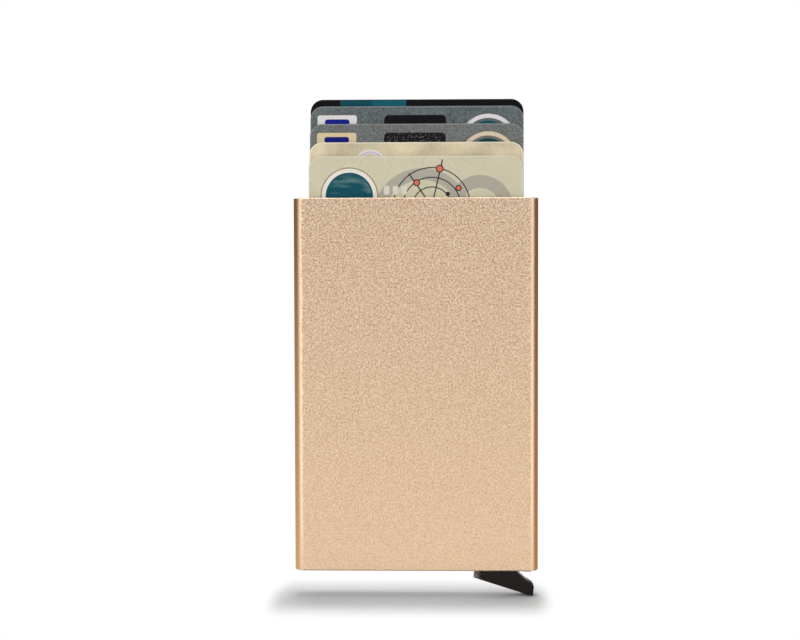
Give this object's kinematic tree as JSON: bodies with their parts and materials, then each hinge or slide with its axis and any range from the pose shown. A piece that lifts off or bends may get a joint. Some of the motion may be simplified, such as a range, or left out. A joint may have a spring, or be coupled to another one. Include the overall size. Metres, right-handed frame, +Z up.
{
  "type": "pop up card holder",
  "caption": "Slim rounded aluminium card case, open at the top, with a sprung trigger lever under one corner that fans the cards out in steps.",
  "frame": {"origin": "under the middle of the case, level with the lowest point of the trigger", "axes": "+Z up, the way the cards come out; +Y from the front face to the back; +X to the right as the front is seen"},
  "size_m": [0.0618, 0.008, 0.126],
  "materials": {
    "anodised_aluminium": "bead blasted, champagne gold anodised",
    "plug_plastic": "moulded black plastic",
    "lever_plastic": "moulded brown black plastic, satin",
    "felt": "dense charcoal felt",
    "pin_steel": "ground steel",
    "spring_steel": "drawn spring wire",
    "cream_card": "printed and laminated card",
    "grey_card": "printed and laminated card",
    "black_card": "printed and laminated card",
    "chip_contacts": "gold plated contacts"
  },
  "bodies": {
    "holder": {"case": "anodised_aluminium", "base_plug": "plug_plastic", "left_rail": "plug_plastic", "right_rail": "plug_plastic", "left_felt": "felt", "right_felt": "felt", "pivot_pin": "pin_steel", "return_spring": "spring_steel"},
    "lever": {"ejector_lever": "lever_plastic"},
    "front_cream": {"front_cream_card": "cream_card", "front_cream_chip": "chip_contacts"},
    "rear_cream": {"rear_cream_card": "cream_card", "rear_cream_chip": "chip_contacts"},
    "front_grey": {"front_grey_card": "grey_card", "front_grey_chip": "chip_contacts"},
    "rear_grey": {"rear_grey_card": "grey_card", "rear_grey_chip": "chip_contacts"},
    "black": {"black_card": "black_card"}
  },
  "joints": [
    {"name": "lever_press", "type": "hinge", "parent": "holder", "child": "lever", "pos_m": [0.022, 0, 0.0106], "axis": [0, 1, 0], "range_deg": [0, 35], "stiffness_Nm_per_rad": 0.012, "springref_deg": -22.92, "deforming": ["return_spring"]},
    {"name": "front_cream_slide", "type": "slide", "parent": "holder", "child": "front_cream", "axis": [0, 0, 1], "range_m": [-0.012, 0.0771]},
    {"name": "rear_cream_slide", "type": "slide", "parent": "holder", "child": "rear_cream", "axis": [0, 0, 1], "range_m": [-0.0155, 0.0736]},
    {"name": "front_grey_slide", "type": "slide", "parent": "holder", "child": "front_grey", "axis": [0, 0, 1], "range_m": [-0.0202, 0.0689]},
    {"name": "rear_grey_slide", "type": "slide", "parent": "holder", "child": "rear_grey", "axis": [0, 0, 1], "range_m": [-0.0247, 0.0644]},
    {"name": "black_slide", "type": "slide", "parent": "holder", "child": "black", "axis": [0, 0, 1], "range_m": [-0.0265, 0.0626]}
  ]
}
